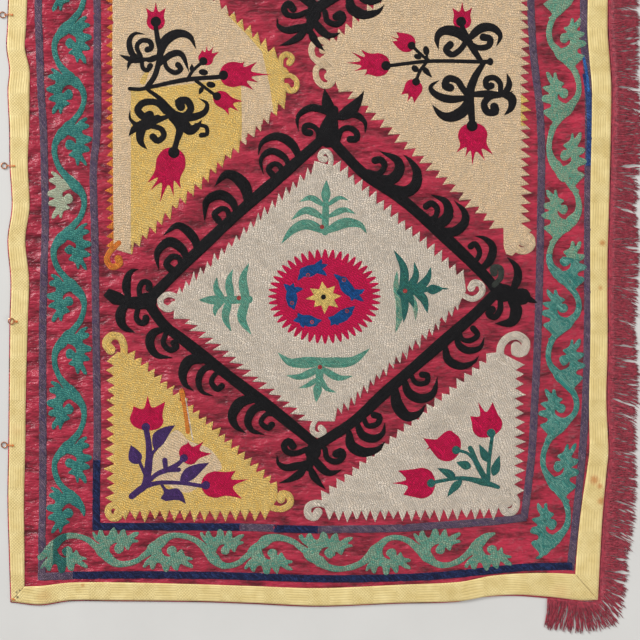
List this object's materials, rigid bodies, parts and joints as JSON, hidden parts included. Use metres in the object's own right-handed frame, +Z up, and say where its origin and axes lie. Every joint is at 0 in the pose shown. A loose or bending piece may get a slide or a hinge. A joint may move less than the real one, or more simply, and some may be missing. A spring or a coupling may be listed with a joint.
{
  "type": "suzani embroidered wall hanging",
  "caption": "Flat satin wall cloth with raised chain-stitch embroidery, a mitred ribbon border, a thread fringe down one side and small metal rings down the other.",
  "frame": {"origin": "middle of the cloth, on its underside, which lies on the floor", "axes": "+Z up out of the embroidered face, +Y along the cloth's length, +X across it towards the fringed edge"},
  "size_m": [1.5498, 2.7065, 0.0069],
  "materials": {
    "satin": "red satin, softly creased",
    "ribbon": "pale yellow woven ribbon, machine-quilted",
    "fringe": "crimson viscose thread",
    "ring_metal": "dull copper-coloured wire"
  },
  "bodies": {
    "root": {"ground_cloth": "satin", "ribbon_left": "ribbon", "ribbon_right": "ribbon", "ribbon_bottom": "ribbon", "ribbon_top": "ribbon", "fringe": "fringe", "ring_1": "ring_metal", "ring_2": "ring_metal", "ring_3": "ring_metal", "ring_4": "ring_metal", "ring_5": "ring_metal", "ring_6": "ring_metal", "ring_7": "ring_metal"}
  },
  "joints": []
}
